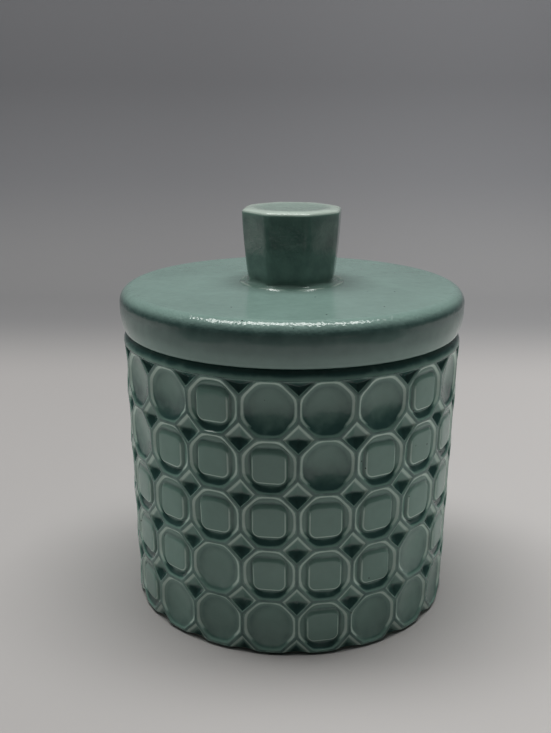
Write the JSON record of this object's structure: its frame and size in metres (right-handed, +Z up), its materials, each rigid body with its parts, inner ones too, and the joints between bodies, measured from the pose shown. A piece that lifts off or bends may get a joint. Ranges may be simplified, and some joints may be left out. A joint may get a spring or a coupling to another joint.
{
  "type": "lidded ceramic jar",
  "caption": "Round glazed ceramic jar with a relief of octagons and small diamonds, and a thick lift-off lid with a faceted octagonal knob.",
  "frame": {"origin": "centre of the jar's foot, on the surface that it stands on", "axes": "+Z up along the jar's axis, -Y towards the viewer, +X to the viewer's right"},
  "size_m": [0.103, 0.103, 0.1197],
  "materials": {
    "jar_glaze": "gloss",
    "lid_glaze": "gloss",
    "knob_glaze": "gloss"
  },
  "bodies": {
    "jar": {"jar_body": "jar_glaze"},
    "cover": {"lid": "lid_glaze", "knob": "knob_glaze"}
  },
  "joints": [
    {"name": "lid_lift", "type": "slide", "parent": "jar", "child": "cover", "axis": [0, 0, 1], "range_m": [0, 0.06]}
  ]
}
